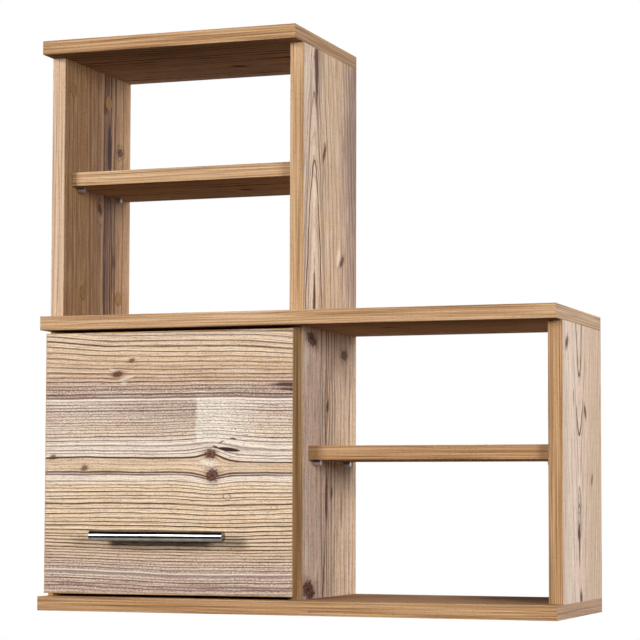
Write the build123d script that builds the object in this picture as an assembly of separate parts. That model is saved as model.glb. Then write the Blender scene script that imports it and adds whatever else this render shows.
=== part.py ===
from build123d import *
import os

os.makedirs("parts", exist_ok=True)

# Wall cabinet of laminated board: a lower row of two bays and a tower on the left bay.
# Millimetres. X to the right, Y back to the wall, Z up. The origin is on the wall plane,
# at the middle of the cabinet's width and height.

# Boards and bays
board_t = 16.0
bay_width = 280.0
bay_height = 304.0
depth = 210.0
front_overhang = 27.0
band_t = 1.0
band_round = 0.6
fit_clear = 0.05

# Shelves and their pegs
shelf_setback = 19.0
shelf_back_gap = 8.0
shelf_side_gap = 0.5
tower_shelf_rise = 156.0
lower_shelf_rise = 155.0
peg_front_inset = 36.0
peg_back_inset = 45.0
peg_r = 2.5
peg_depth = 8.0
peg_head_r = 3.0
peg_reach = 9.0

# Back of the flap bay
back_t = 3.0
back_recess = 16.0
back_tongue = 4.5
groove_depth = 5.0
groove_clear = 0.1

# Cam fittings and dowels
cam_r = 7.4
cam_t = 12.4
cam_clear = 0.1
cam_reach = 34.0
cam_front_inset = 23.0
cam_back_inset = 65.0
foot_cam_front_inset = 52.0
foot_cam_back_inset = 32.0
cam_slot_length = 9.0
cam_slot_width = 1.6
cam_slot_depth = 2.5
bolt_r = 2.5
bolt_thread = 11.0
bolt_collar_r = 3.8
bolt_collar_t = 2.0
bolt_neck_r = 1.6
bolt_neck_start = 5.0
bolt_head_r = 3.2
bolt_head_start = 1.5
bolt_head_t = 2.5
bolt_bore_r = 4.0
cam_bore_r = 3.6
cam_bore_end = 2.0
cap_r = 8.6
cap_t = 1.0
cap_chamfer = 0.5
dowel_r = 4.0
dowel_in_panel = 11.5
dowel_in_side = 18.5
dowel_chamfer = 1.0
dowel_from_cam = 50.0
hole_relief = 1.0

# Keyhole hangers in the back edges
hanger_width = 12.0
hanger_t = 2.0
hanger_drop = 34.0
hanger_below = 18.0
hanger_above = 26.0
key_r = 4.0
key_slot_r = 2.25
key_slot_rise = 10.0
pocket_r = 4.7
pocket_depth = 9.0
hanger_screw_r = 1.5
hanger_screw_head_r = 2.8
hanger_screw_head_t = 1.4
hanger_screw_length = 14.0
hanger_screw_end = 5.0

# Lift-up flap
flap_overlay = 12.0
flap_edge_gap = 3.5
flap_back_gap = 2.5
stop_r = 3.5
stop_clear = 0.3
stop_rise = 20.0

# Bar handle
handle_length = 162.0
handle_r = 6.0
handle_chamfer = 0.8
handle_hole_spacing = 96.0
handle_rise = 66.5
handle_stand = 28.0
post_r = 4.5
post_thread_depth = 12.0
handle_screw_r = 2.0
handle_screw_head_r = 4.0
handle_screw_head_t = 2.4
handle_screw_grip = 10.0

# Cup hinges with one pivot
hinge_inset = 70.0
hinge_pin_depth = 6.0
hinge_pin_drop = 5.7
hinge_pin_r = 1.2
hinge_pin_half = 7.2
hinge_run_clear = 0.05
hinge_eye_r = 2.1
hinge_arm_half = 5.0
hinge_arm_reach = 58.0
hinge_notch_clear = 0.4
hinge_floor_clear = 0.2
cup_r = 17.5
cup_wall = 0.5
cup_drop = 15.8
cup_clear = 0.1
flange_t = 1.2
flange_r = 20.0
flange_half = 30.0
flange_height = 14.0
flange_drop = 5.5
cup_screw_half = 24.0
cup_screw_r = 1.5
cup_screw_length = 10.0
cup_screw_head_r = 3.2
cup_screw_head_t = 1.6
plate_half = 8.0
plate_front_gap = 4.0
wing_half = 24.0
wing_width = 16.0
wing_t = 2.5
plate_screw_half = 16.0
plate_screw_r = 2.0
plate_screw_length = 11.0
plate_screw_head_r = 3.6
plate_screw_head_t = 2.0
arm_screw_from_end = 10.0
arm_screw_bite = 5.0

# Folding flap stays: the arm stays parallel to the line from hinge to bracket
stay_base_reach = 90.0
stay_base_drop = 30.0
stay_arm_reach = 22.0
stay_arm_drop = 70.0
stay_plate_t = 2.5
stay_layer_gap = 0.5
stay_arm_half = 7.0
stay_link_half = 6.0
stay_pin_r = 2.5
stay_run_clear = 0.05
stay_head_r = 4.0
stay_head_t = 1.2
stay_base_width = 22.0
stay_base_height = 58.0
stay_base_round = 6.0
stay_base_screw_half = 21.0
stay_bracket_t = 2.0
stay_bracket_height = 40.0
stay_bracket_width = 22.0
stay_bracket_screw_half = 13.0
stay_ear_half = 8.0
stay_screw_r = 1.6
stay_screw_length = 11.0
stay_screw_head_r = 3.2
stay_screw_head_t = 1.5

# Stations along X
width = 3 * board_t + 2 * bay_width
left_out = -width / 2
left_in = left_out + board_t
mid_left = -board_t / 2
mid_right = board_t / 2
right_in = width / 2 - board_t
right_out = width / 2
flap_centre_x = (left_in + mid_left) / 2

# Stations along Z
height = 3 * board_t + 2 * bay_height
floor_under = -height / 2
floor_top = floor_under + board_t
mid_under = -board_t / 2
mid_top = board_t / 2
roof_under = height / 2 - board_t
roof_top = height / 2

# Stations along Y
panel_front = -depth
side_front = front_overhang - depth
flap_back = side_front - flap_back_gap
flap_front = flap_back - board_t
cam_rows = (side_front + cam_front_inset, -cam_back_inset)
foot_cam_rows = (side_front + foot_cam_front_inset, -foot_cam_back_inset)

# Flap limits and its hinge axis
flap_x = (left_in - flap_overlay, mid_left + flap_overlay)
flap_z = (floor_top + flap_edge_gap, mid_under - flap_edge_gap)
hinge_y = flap_front + hinge_pin_depth
hinge_z = flap_z[1] - hinge_pin_drop
hinge_xs = (flap_x[0] + hinge_inset, flap_x[1] - hinge_inset)
cup_z = hinge_z - cup_drop
cup_floor_in = hinge_y - hinge_eye_r - hinge_floor_clear
cup_floor_out = cup_floor_in - cup_wall
notch_half = hinge_arm_half + hinge_notch_clear

# Uprights: limits along X and Z, and the side that their cams are let into
uprights = {
    "tower_left": ((left_out, left_in), (mid_top, roof_under), 1),
    "tower_right": ((mid_left, mid_right), (mid_top, roof_under), -1),
    "lower_left": ((left_out, left_in), (floor_top, mid_under), 1),
    "divider": ((mid_left, mid_right), (floor_top, mid_under), -1),
    "lower_right": ((right_in, right_out), (floor_top, mid_under), -1),
}
tower_sides = ("tower_left", "tower_right")
capped_sides = ("tower_left", "tower_right", "lower_right")
hung_sides = ("tower_left", "tower_right", "lower_left", "lower_right")


def block(x, y, z):
    """A box between pairs of limits along X, Y and Z."""
    spans = (x, y, z)
    centre = [(low + high) / 2 for low, high in spans]
    size = [high - low for low, high in spans]
    return Pos(*centre) * Box(*size)


def rod(start, end, radius):
    """A round bar between two points."""
    run = Vector(*end) - Vector(*start)
    seat = Plane(origin=start, z_dir=run).location
    return seat * Cylinder(radius, run.length, align=(Align.CENTER, Align.CENTER, Align.MIN))


def stadium_x(x, start, end, half):
    """A flat bar with round ends, lying across X, between two (y, z) points."""
    run = Vector(0, end[0] - start[0], end[1] - start[1])
    seat = Plane(origin=(x[0], start[0], start[1]), x_dir=run, z_dir=(1, 0, 0)).location
    bar = Pos(run.length / 2, 0, 0) * Box(
        run.length, 2 * half, x[1] - x[0], align=(Align.CENTER, Align.CENTER, Align.MIN)
    )
    eyes = [
        Pos(reach, 0, 0) * Cylinder(half, x[1] - x[0], align=(Align.CENTER, Align.CENTER, Align.MIN))
        for reach in (0, run.length)
    ]
    return seat * (bar + eyes)


def less(body, cuts):
    """The body with a list of cutters taken out, if there are any."""
    return body - cuts if cuts else body


def solids_of(pieces):
    """Every separate solid of a shape or of a list of shapes."""
    shapes = pieces if isinstance(pieces, list) else [pieces]
    return [solid for shape in shapes for solid in shape.solids()]


def save(name, pieces):
    """Write one node, as one solid or as a group of separate solids."""
    found = solids_of(pieces)
    shape = found[0] if len(found) == 1 else Compound(children=found)
    export_step(shape, f"parts/{name}.step")


def band_radius():
    """Rounding of a band's outer corners, kept inside its thickness."""
    return min(band_round, 0.8 * band_t)


def front_band(x, front, z):
    """Strip along a front edge, rounded on its outer face."""
    strip = block(x, (front, front + band_t), z)
    return fillet(strip.faces().sort_by(Axis.Y)[0].edges(), band_radius())


def end_band(x_out, inward, y, z):
    """Strip along the end of a board, rounded on the two long outer edges."""
    x = sorted((x_out, x_out + inward * band_t))
    strip = block(x, y, z)
    outer = strip.faces().sort_by(Axis.X)[0 if inward > 0 else -1]
    return fillet(outer.edges().filter_by(Axis.Y), band_radius())


def level_board(name, x, z, cuts):
    """A horizontal panel with bands on its front edge and both ends."""
    core_front = panel_front + band_t
    core = block((x[0] + band_t, x[1] - band_t), (core_front, 0), z)
    save(name, less(core, cuts))
    bands = [front_band(x, panel_front, z)]
    bands += [end_band(x_out, inward, (core_front, 0), z) for x_out, inward in ((x[0], 1), (x[1], -1))]
    save(f"{name}_edging", bands)


def upright_board(name, x, z, cuts):
    """A vertical panel with a band on its front edge."""
    save(name if name == "divider" else f"{name}_side", less(block(x, (side_front + band_t, 0), z), cuts))
    save(f"{name}_edging", front_band(x, side_front, z))


def shelf_board(name, x, z_under):
    """A loose shelf between two uprights, with a band on its front edge."""
    x = (x[0] + shelf_side_gap, x[1] - shelf_side_gap)
    z = (z_under, z_under + board_t)
    front = side_front + shelf_setback
    save(name, block(x, (front + band_t, -shelf_back_gap), z))
    save(f"{name}_edging", front_band(x, front, z))


def peg_points(x, z_under):
    """Root of each shelf peg and the way it points out of its upright."""
    rows = (side_front + peg_front_inset, -peg_back_inset)
    return [(x_wall, y, z_under - peg_head_r, way) for x_wall, way in ((x[0], 1), (x[1], -1)) for y in rows]


def peg(x, y, z, way):
    """Steel peg: a thin end in the upright and a thicker head under the shelf."""
    stem = rod((x - way * peg_depth, y, z), (x, y, z), peg_r)
    return stem + rod((x, y, z), (x + way * peg_reach, y, z), peg_head_r)


def peg_hole(x, y, z, way):
    """Blind hole for a peg."""
    return rod((x - way * (peg_depth + hole_relief), y, z), (x, y, z), peg_r + fit_clear)


def cam_lock():
    """Cam with its open face at x = 0, its bolt coming from below."""
    cam = rod((-cam_t, 0, 0), (0, 0, 0), cam_r)
    axis_x = -board_t / 2
    bore = rod((axis_x, 0, -cam_r), (axis_x, 0, cam_bore_end), cam_bore_r)
    half = cam_slot_length / 2
    thin = cam_slot_width / 2
    floor = (-cam_slot_depth, 0)
    cross = [block(floor, (-half, half), (-thin, thin)), block(floor, (-thin, thin), (-half, half))]
    return cam - bore - cross


def cam_bolt():
    """Bolt screwed into a board's face at z = 0: thread, collar, neck and head."""
    neck = cam_reach - bolt_neck_start
    head = cam_reach - bolt_head_start
    bolt = rod((0, 0, -bolt_thread), (0, 0, neck), bolt_r)
    bolt += rod((0, 0, 0), (0, 0, bolt_collar_t), bolt_collar_r)
    bolt += rod((0, 0, neck), (0, 0, head), bolt_neck_r)
    return bolt + rod((0, 0, head), (0, 0, head + bolt_head_t), bolt_head_r)


def cam_cap():
    """Flat cover on a cam, its back at x = 0."""
    cap = rod((0, 0, 0), (cap_t, 0, 0), cap_r)
    return chamfer(cap.faces().sort_by(Axis.X)[-1].edges(), cap_chamfer)


def dowel():
    """Wooden dowel standing in a board's face at z = 0."""
    pin = rod((0, 0, -dowel_in_panel), (0, 0, dowel_in_side), dowel_r)
    return chamfer(pin.edges().filter_by(GeomType.CIRCLE), dowel_chamfer)


def join_uprights(cuts):
    """Cams, bolts, caps and dowels of every upright, with their holes added to the boards' cuts."""
    made = {"cam_locks": [], "cam_bolts": [], "cam_caps": [], "wood_dowels": []}
    lock, bolt, cap, pin = cam_lock(), cam_bolt(), cam_cap(), dowel()
    for name, (x, z, face) in uprights.items():
        x_mid = sum(x) / 2
        x_face = x[1] if face > 0 else x[0]
        turn_face = Rot(0, 0, 0 if face > 0 else 180)
        in_tower = name in tower_sides
        boards = ("middle_panel", "top_panel") if in_tower else ("bottom_panel", "middle_panel")
        for z_end, way, board in ((z[0], 1, boards[0]), (z[1], -1, boards[1])):
            turn_end = Rot(0 if way > 0 else 180, 0, 0)
            rows = foot_cam_rows if in_tower and way > 0 else cam_rows
            dowel_y = rows[1] - dowel_from_cam
            for y in rows:
                z_cam = z_end + way * cam_reach
                seat = Pos(x_face, y, z_cam)
                made["cam_locks"].append(seat * turn_face * turn_end * lock)
                deep = x_face - face * (cam_t + cam_clear)
                cuts[name].append(rod((deep, y, z_cam), (x_face, y, z_cam), cam_r + cam_clear))
                cuts[name].append(rod((x_mid, y, z_end), (x_mid, y, z_cam), bolt_bore_r))
                if name in capped_sides:
                    made["cam_caps"].append(seat * turn_face * cap)
                made["cam_bolts"].append(Pos(x_mid, y, z_end) * turn_end * bolt)
                tip = z_end - way * (bolt_thread + hole_relief)
                cuts[board].append(rod((x_mid, y, tip), (x_mid, y, z_end), bolt_r + fit_clear))
            made["wood_dowels"].append(Pos(x_mid, dowel_y, z_end) * turn_end * pin)
            tip = z_end - way * (dowel_in_panel + hole_relief)
            top = z_end + way * (dowel_in_side + hole_relief)
            cuts[board].append(rod((x_mid, dowel_y, tip), (x_mid, dowel_y, z_end), dowel_r + fit_clear))
            cuts[name].append(rod((x_mid, dowel_y, z_end), (x_mid, dowel_y, top), dowel_r + fit_clear))
    for node, pieces in made.items():
        save(node, pieces)


def hanger_heights(z_key):
    """Lower and upper end of a hanger plate, and its two screws, from its keyhole's height."""
    low = z_key - hanger_below
    high = z_key + hanger_above
    return low, high, (low + hanger_screw_end, high - hanger_screw_end)


def hang_uprights(cuts):
    """Keyhole plates let into the back edges, their screws, and the pockets for the wall screws' heads."""
    plates = []
    screws = []
    for name in hung_sides:
        x, z, _ = uprights[name]
        x_mid = sum(x) / 2
        z_key = z[1] - hanger_drop
        low, high, screw_zs = hanger_heights(z_key)
        half = hanger_width / 2
        plate = block((x_mid - half, x_mid + half), (-hanger_t, 0), (low, high))
        plate = fillet(plate.edges().filter_by(Axis.Y), half / 2)
        through = (-2 * hanger_t, hanger_t)
        plate -= rod((x_mid, through[0], z_key), (x_mid, through[1], z_key), key_r)
        slot_top = z_key + key_slot_rise
        plate -= rod((x_mid, through[0], slot_top), (x_mid, through[1], slot_top), key_slot_r)
        plate -= block((x_mid - key_slot_r, x_mid + key_slot_r), through, (z_key, slot_top))
        let_in = half + fit_clear
        seat_z = (low - fit_clear, high + fit_clear)
        cuts[name].append(block((x_mid - let_in, x_mid + let_in), (-hanger_t, 0), seat_z))
        pocket_y = (-hanger_t - pocket_depth, -hanger_t)
        pocket_z = (z_key - pocket_r, slot_top + pocket_r)
        cuts[name].append(block((x_mid - pocket_r, x_mid + pocket_r), pocket_y, pocket_z))
        for z_screw in screw_zs:
            face = (x_mid, 0, z_screw)
            tip = (x_mid, -hanger_screw_length, z_screw)
            screws.append(flat_screw(tip, face, hanger_screw_r, hanger_screw_head_r, hanger_screw_head_t))
            plate -= screws[-1]
            hole_end = (x_mid, -hanger_screw_length - hole_relief, z_screw)
            cuts[name].append(rod(hole_end, face, hanger_screw_r + fit_clear))
        plates.append(plate)
    save("hanger_plates", plates)
    save("hanger_screws", screws)


def back_board(cuts):
    """Thin back of the flap bay, held in grooves on all four sides."""
    y = (-back_recess - back_t - groove_clear, -back_recess - groove_clear)
    x = (left_in - back_tongue, mid_left + back_tongue)
    z = (floor_top - back_tongue, mid_under + back_tongue)
    save("back_panel", block(x, y, z))
    groove_y = (y[0] - groove_clear, y[1] + groove_clear)
    groove_x = (left_in - groove_depth, mid_left + groove_depth)
    groove_z = (floor_top - groove_depth, mid_under + groove_depth)
    cuts["lower_left"].append(block((groove_x[0], left_in), groove_y, (floor_top, mid_under)))
    cuts["divider"].append(block((mid_left, groove_x[1]), groove_y, (floor_top, mid_under)))
    cuts["bottom_panel"].append(block(groove_x, groove_y, (groove_z[0], floor_top)))
    cuts["middle_panel"].append(block(groove_x, groove_y, (mid_under, groove_z[1])))


def head_screw(tip, seat, end, radius, head_radius):
    """Pan-head screw: its tip, the seat under its head, and the outer end of the head, on one line."""
    return rod(tip, seat, radius) + rod(seat, end, head_radius)


def flat_screw(tip, face, radius, head_radius, head_t):
    """Countersunk screw from its tip to the face that its head is flush with."""
    run = Vector(*face) - Vector(*tip)
    taper = Cone(radius, head_radius, head_t, align=(Align.CENTER, Align.CENTER, Align.MAX))
    return rod(tip, face, radius) + Plane(origin=face, z_dir=run).location * taper


def arm_notch(x):
    """Room for a hinge arm, from the cup to the flap's top edge."""
    span = (x - notch_half, x + notch_half)
    return block(span, (cup_floor_in, flap_back + 2 * flange_t), (cup_z, flap_z[1] + board_t))


def pin_line(x, radius):
    """A hinge pin, or the hole that it is pressed into."""
    return rod((x - hinge_pin_half, hinge_y, hinge_z), (x + hinge_pin_half, hinge_y, hinge_z), radius)


def hinge_cup(x):
    """Pressed cup with its flange on the flap's back, open towards the arm."""
    seat = (x, flap_back, cup_z)
    cup = rod((x, cup_floor_out, cup_z), seat, cup_r)
    flange = rod(seat, (x, flap_back + flange_t, cup_z), flange_r)
    wing_z = (cup_z - flange_drop - flange_height / 2, cup_z - flange_drop + flange_height / 2)
    wings = block((x - flange_half, x + flange_half), (flap_back, flap_back + flange_t), wing_z)
    wings = fillet(wings.edges().filter_by(Axis.Y), flange_height / 3)
    cup = cup + flange + wings
    cup -= rod((x, cup_floor_in, cup_z), (x, flap_back + 2 * flange_t, cup_z), cup_r - cup_wall)
    cup -= arm_notch(x)
    cup -= pin_line(x, hinge_pin_r + fit_clear / 2)
    for x_screw in (x - cup_screw_half, x + cup_screw_half):
        z = cup_z - flange_drop
        cup -= rod((x_screw, flap_back, z), (x_screw, flap_back + flange_t, z), cup_screw_r + fit_clear)
    return cup


def hinge_arm(x):
    """Arm from the pin in the flap back to the plate under the middle panel."""
    span = (x - hinge_arm_half, x + hinge_arm_half)
    end = hinge_y + hinge_arm_reach
    arm = block(span, (hinge_y, end), (hinge_z - hinge_eye_r, hinge_z + hinge_eye_r))
    arm += rod((span[0], hinge_y, hinge_z), (span[1], hinge_y, hinge_z), hinge_eye_r)
    arm -= rod((span[0], hinge_y, hinge_z), (span[1], hinge_y, hinge_z), hinge_pin_r + hinge_run_clear)
    y = end - arm_screw_from_end
    return arm - rod((x, y, hinge_z - hinge_eye_r), (x, y, hinge_z + hinge_eye_r), plate_screw_r + fit_clear)


def hinge_plate(x):
    """Mounting block with two screw wings, under the middle panel."""
    seat = hinge_z + hinge_eye_r
    y = (side_front + plate_front_gap, hinge_y + hinge_arm_reach)
    y_mid = sum(y) / 2
    plate = block((x - plate_half, x + plate_half), y, (seat, mid_under))
    wings_y = (y_mid - wing_width / 2, y_mid + wing_width / 2)
    wings = block((x - wing_half, x + wing_half), wings_y, (mid_under - wing_t, mid_under))
    plate += fillet(wings.edges().filter_by(Axis.Z), wing_width / 3)
    for x_screw in (x - plate_screw_half, x + plate_screw_half):
        under = (x_screw, y_mid, mid_under - wing_t)
        plate -= rod(under, (x_screw, y_mid, mid_under), plate_screw_r + fit_clear)
    y_arm = y[1] - arm_screw_from_end
    top = seat + arm_screw_bite + fit_clear
    return plate - rod((x, y_arm, seat), (x, y_arm, top), plate_screw_r + fit_clear)


def hinge_set(cuts):
    """Both hinges with their pins and screws."""
    cup_screws = []
    plate_screws = []
    for x in hinge_xs:
        cup_end = (x, cup_floor_out - cup_clear, cup_z)
        cuts["flap"].append(rod(cup_end, (x, flap_back, cup_z), cup_r + cup_clear))
        cuts["flap"].append(arm_notch(x))
        cuts["flap"].append(pin_line(x, hinge_pin_r + fit_clear))
        z = cup_z - flange_drop
        for x_screw in (x - cup_screw_half, x + cup_screw_half):
            tip = flap_back - cup_screw_length
            seat = flap_back + flange_t
            points = [(x_screw, y, z) for y in (tip, seat, seat + cup_screw_head_t)]
            cup_screws.append(head_screw(*points, cup_screw_r, cup_screw_head_r))
            hole_end = (x_screw, tip - hole_relief, z)
            cuts["flap"].append(rod(hole_end, (x_screw, flap_back, z), cup_screw_r + fit_clear))
        y_mid = (side_front + plate_front_gap + hinge_y + hinge_arm_reach) / 2
        for x_screw in (x - plate_screw_half, x + plate_screw_half):
            tip = mid_under + plate_screw_length
            seat = mid_under - wing_t
            points = [(x_screw, y_mid, level) for level in (tip, seat, seat - plate_screw_head_t)]
            plate_screws.append(head_screw(*points, plate_screw_r, plate_screw_head_r))
            hole_end = (x_screw, y_mid, tip + hole_relief)
            cuts["middle_panel"].append(rod((x_screw, y_mid, mid_under), hole_end, plate_screw_r + fit_clear))
        y_arm = hinge_y + hinge_arm_reach - arm_screw_from_end
        seat = hinge_z - hinge_eye_r
        tip = hinge_z + hinge_eye_r + arm_screw_bite
        points = [(x, y_arm, level) for level in (tip, seat, seat - plate_screw_head_t)]
        plate_screws.append(head_screw(*points, plate_screw_r, plate_screw_head_r))
    save("hinge_cups", [hinge_cup(x) for x in hinge_xs])
    save("hinge_arms", [hinge_arm(x) for x in hinge_xs])
    save("hinge_plates", [hinge_plate(x) for x in hinge_xs])
    save("hinge_pins", [pin_line(x, hinge_pin_r) for x in hinge_xs])
    save("hinge_cup_screws", cup_screws)
    save("hinge_plate_screws", plate_screws)


# Stay pivots at rest, as (y, z): on the flap bracket, on the upright, and at the elbow
stay_bracket_pivot = (hinge_y + stay_arm_reach, hinge_z - stay_arm_drop)
stay_base_pivot = (hinge_y + stay_base_reach, hinge_z - stay_base_drop)
stay_elbow = (stay_base_pivot[0] + stay_arm_reach, stay_base_pivot[1] - stay_arm_drop)

# Layers of a stay, counted from the upright's face
stay_step = stay_plate_t + stay_layer_gap
stay_layers = [(n * stay_step, n * stay_step + stay_plate_t) for n in range(3)]
stay_ear = (3 * stay_step, 3 * stay_step + stay_bracket_t)


def pivot_pin(low, high, pivot):
    """Pin with a rivet head outside its far end."""
    y, z = pivot
    head = rod((high, y, z), (high + stay_head_t, y, z), stay_head_r)
    return rod((low, y, z), (high, y, z), stay_pin_r) + head


def eye(x, pivot, clear):
    """Cutter for a pivot hole through one layer."""
    y, z = pivot
    return rod((x[0], y, z), (x[1], y, z), stay_pin_r + clear)


def stay_parts(wall):
    """Pieces of one stay beside the upright whose face is at x = wall, and the cuts that it needs."""
    base_x, arm_x, link_x = [(wall + low, wall + high) for low, high in stay_layers]
    ear_x = (wall + stay_ear[0], wall + stay_ear[1])
    base_y, base_z = stay_base_pivot
    half_w = stay_base_width / 2
    half_h = stay_base_height / 2
    base = block(base_x, (base_y - half_w, base_y + half_w), (base_z - half_h, base_z + half_h))
    base = fillet(base.edges().filter_by(Axis.X), stay_base_round)
    base -= eye(base_x, stay_base_pivot, fit_clear / 2)
    base_screws = []
    side_cuts = []
    for z in (base_z - stay_base_screw_half, base_z + stay_base_screw_half):
        tip = (wall - stay_screw_length, base_y, z)
        face = (base_x[1], base_y, z)
        base_screws.append(flat_screw(tip, face, stay_screw_r, stay_screw_head_r, stay_screw_head_t))
        base -= base_screws[-1]
        hole_end = (tip[0] - hole_relief, base_y, z)
        side_cuts.append(rod(hole_end, (wall, base_y, z), stay_screw_r + fit_clear))
    arm = stadium_x(arm_x, stay_base_pivot, stay_elbow, stay_arm_half)
    arm -= eye(arm_x, stay_base_pivot, stay_run_clear) + eye(arm_x, stay_elbow, fit_clear / 2)
    link = stadium_x(link_x, stay_elbow, stay_bracket_pivot, stay_link_half)
    link -= eye(link_x, stay_elbow, stay_run_clear) + eye(link_x, stay_bracket_pivot, stay_run_clear)
    pivot_y, pivot_z = stay_bracket_pivot
    plate_y = (flap_back, flap_back + stay_bracket_t)
    tall = (pivot_z - stay_bracket_height / 2, pivot_z + stay_bracket_height / 2)
    bracket = block((ear_x[0], ear_x[0] + stay_bracket_width), plate_y, tall)
    bracket += stadium_x(ear_x, (flap_back + stay_ear_half, pivot_z), stay_bracket_pivot, stay_ear_half)
    ear_root = (pivot_z - stay_ear_half, pivot_z + stay_ear_half)
    bracket += block(ear_x, (flap_back, pivot_y), ear_root)
    bracket -= eye(ear_x, stay_bracket_pivot, fit_clear / 2)
    bracket_screws = []
    flap_cuts = []
    x_screw = (ear_x[1] + ear_x[0] + stay_bracket_width) / 2
    for z in (pivot_z - stay_bracket_screw_half, pivot_z + stay_bracket_screw_half):
        tip = flap_back - stay_screw_length
        points = [(x_screw, y, z) for y in (tip, plate_y[1], plate_y[1] + stay_screw_head_t)]
        bracket_screws.append(head_screw(*points, stay_screw_r, stay_screw_head_r))
        bracket -= rod((x_screw, plate_y[0], z), (x_screw, plate_y[1], z), stay_screw_r + fit_clear)
        hole_end = (x_screw, tip - hole_relief, z)
        flap_cuts.append(rod(hole_end, (x_screw, flap_back, z), stay_screw_r + fit_clear))
    pieces = {
        "base": base,
        "base_pin": pivot_pin(wall, arm_x[1] + stay_layer_gap / 2, stay_base_pivot),
        "arm": arm,
        "elbow_pin": pivot_pin(arm_x[0], link_x[1] + stay_layer_gap / 2, stay_elbow),
        "link": link,
        "bracket": bracket,
        "bracket_pin": pivot_pin(link_x[0], ear_x[1], stay_bracket_pivot),
        "base_screws": base_screws,
        "bracket_screws": bracket_screws,
    }
    return pieces, side_cuts, flap_cuts


def stay_set(cuts):
    """The left stay on the lower left side and its mirror image on the divider."""
    left, side_cuts, flap_cuts = stay_parts(left_in)
    middle = Plane(origin=(flap_centre_x, 0, 0), z_dir=(1, 0, 0))

    def flipped(shapes):
        return [mirror(shape, about=middle) for shape in shapes]

    cuts["lower_left"] += side_cuts
    cuts["divider"] += flipped(side_cuts)
    cuts["flap"] += flap_cuts + flipped(flap_cuts)
    for piece in ("arm", "elbow_pin", "link"):
        save(f"left_stay_{piece}", left[piece])
        save(f"right_stay_{piece}", flipped([left[piece]]))
    groups = {"base": "stay_bases", "base_pin": "stay_base_pins", "bracket": "stay_brackets"}
    groups.update({"bracket_pin": "stay_bracket_pins", "base_screws": "stay_base_screws"})
    groups.update({"bracket_screws": "stay_bracket_screws"})
    for piece, node in groups.items():
        shapes = left[piece] if isinstance(left[piece], list) else [left[piece]]
        save(node, shapes + flipped(shapes))


def handle_set(cuts):
    """Round bar on two posts, screwed on from inside the flap."""
    bar_y = flap_front - handle_stand
    bar_z = flap_z[0] + handle_rise
    half = handle_length / 2
    bar = rod((flap_centre_x - half, bar_y, bar_z), (flap_centre_x + half, bar_y, bar_z), handle_r)
    whole_bar = bar
    bar = chamfer(bar.edges().filter_by(GeomType.CIRCLE), handle_chamfer)
    save("handle_bar", bar)
    posts = []
    screws = []
    for x in (flap_centre_x - handle_hole_spacing / 2, flap_centre_x + handle_hole_spacing / 2):
        post = rod((x, flap_front, bar_z), (x, bar_y, bar_z), post_r) - whole_bar
        thread_end = (x, flap_front - post_thread_depth, bar_z)
        posts.append(post - rod(thread_end, (x, flap_front, bar_z), handle_screw_r + fit_clear))
        tip = flap_front - handle_screw_grip
        points = [(x, y, bar_z) for y in (tip, flap_back, flap_back + handle_screw_head_t)]
        screws.append(head_screw(*points, handle_screw_r, handle_screw_head_r))
        cuts["flap"].append(rod((x, flap_front, bar_z), (x, flap_back, bar_z), handle_screw_r + fit_clear))
    save("handle_posts", posts)
    save("handle_screws", screws)


def bump_stops():
    """Soft dots on the flap's back, one over the edge of each upright behind it."""
    z = flap_z[0] + stop_rise
    end = side_front - stop_clear
    dots = []
    for x in (flap_x[0] + flap_overlay / 2, flap_x[1] - flap_overlay / 2):
        dot = rod((x, flap_back, z), (x, end, z), stop_r)
        dots.append(fillet(dot.faces().sort_by(Axis.Y)[-1].edges(), (end - flap_back) / 3))
    save("bump_stops", dots)


def flap_board(cuts):
    """Flap core and the bands on its four edges."""
    x = (flap_x[0] + band_t, flap_x[1] - band_t)
    z = (flap_z[0] + band_t, flap_z[1] - band_t)
    y = (flap_front, flap_back)
    save("flap_panel", less(block(x, y, z), cuts["flap"]))
    bands = []
    for z_out, side in ((flap_z[0], 0), (flap_z[1], -1)):
        strip = block(flap_x, y, sorted((z_out, z[side])))
        outer = strip.faces().sort_by(Axis.Z)[side]
        strip = fillet(outer.edges().filter_by(Axis.X), band_radius())
        bands.append(less(strip, [arm_notch(x_hinge) for x_hinge in hinge_xs]))
    for x_out, inward in ((flap_x[0], 1), (flap_x[1], -1)):
        strip = block(sorted((x_out, x_out + inward * band_t)), y, z)
        outer = strip.faces().sort_by(Axis.X)[0 if inward > 0 else -1]
        bands.append(fillet(outer.edges().filter_by(Axis.Z), band_radius()))
    save("flap_edging", bands)


def shelves(cuts):
    """Both loose shelves on four pegs each."""
    tower_x = (left_in, mid_left)
    lower_x = (mid_right, right_in)
    tower_z = mid_top + tower_shelf_rise
    lower_z = floor_top + lower_shelf_rise
    shelf_board("tower_shelf", tower_x, tower_z)
    shelf_board("lower_shelf", lower_x, lower_z)
    tower = ("tower_shelf_pegs", tower_x, tower_z, tower_sides)
    lower = ("lower_shelf_pegs", lower_x, lower_z, ("divider", "lower_right"))
    for node, x, z, walls in (tower, lower):
        points = peg_points(x, z)
        save(node, [peg(*point) for point in points])
        for point in points:
            wall = walls[0] if point[0] == x[0] else walls[1]
            cuts[wall].append(peg_hole(*point))


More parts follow.
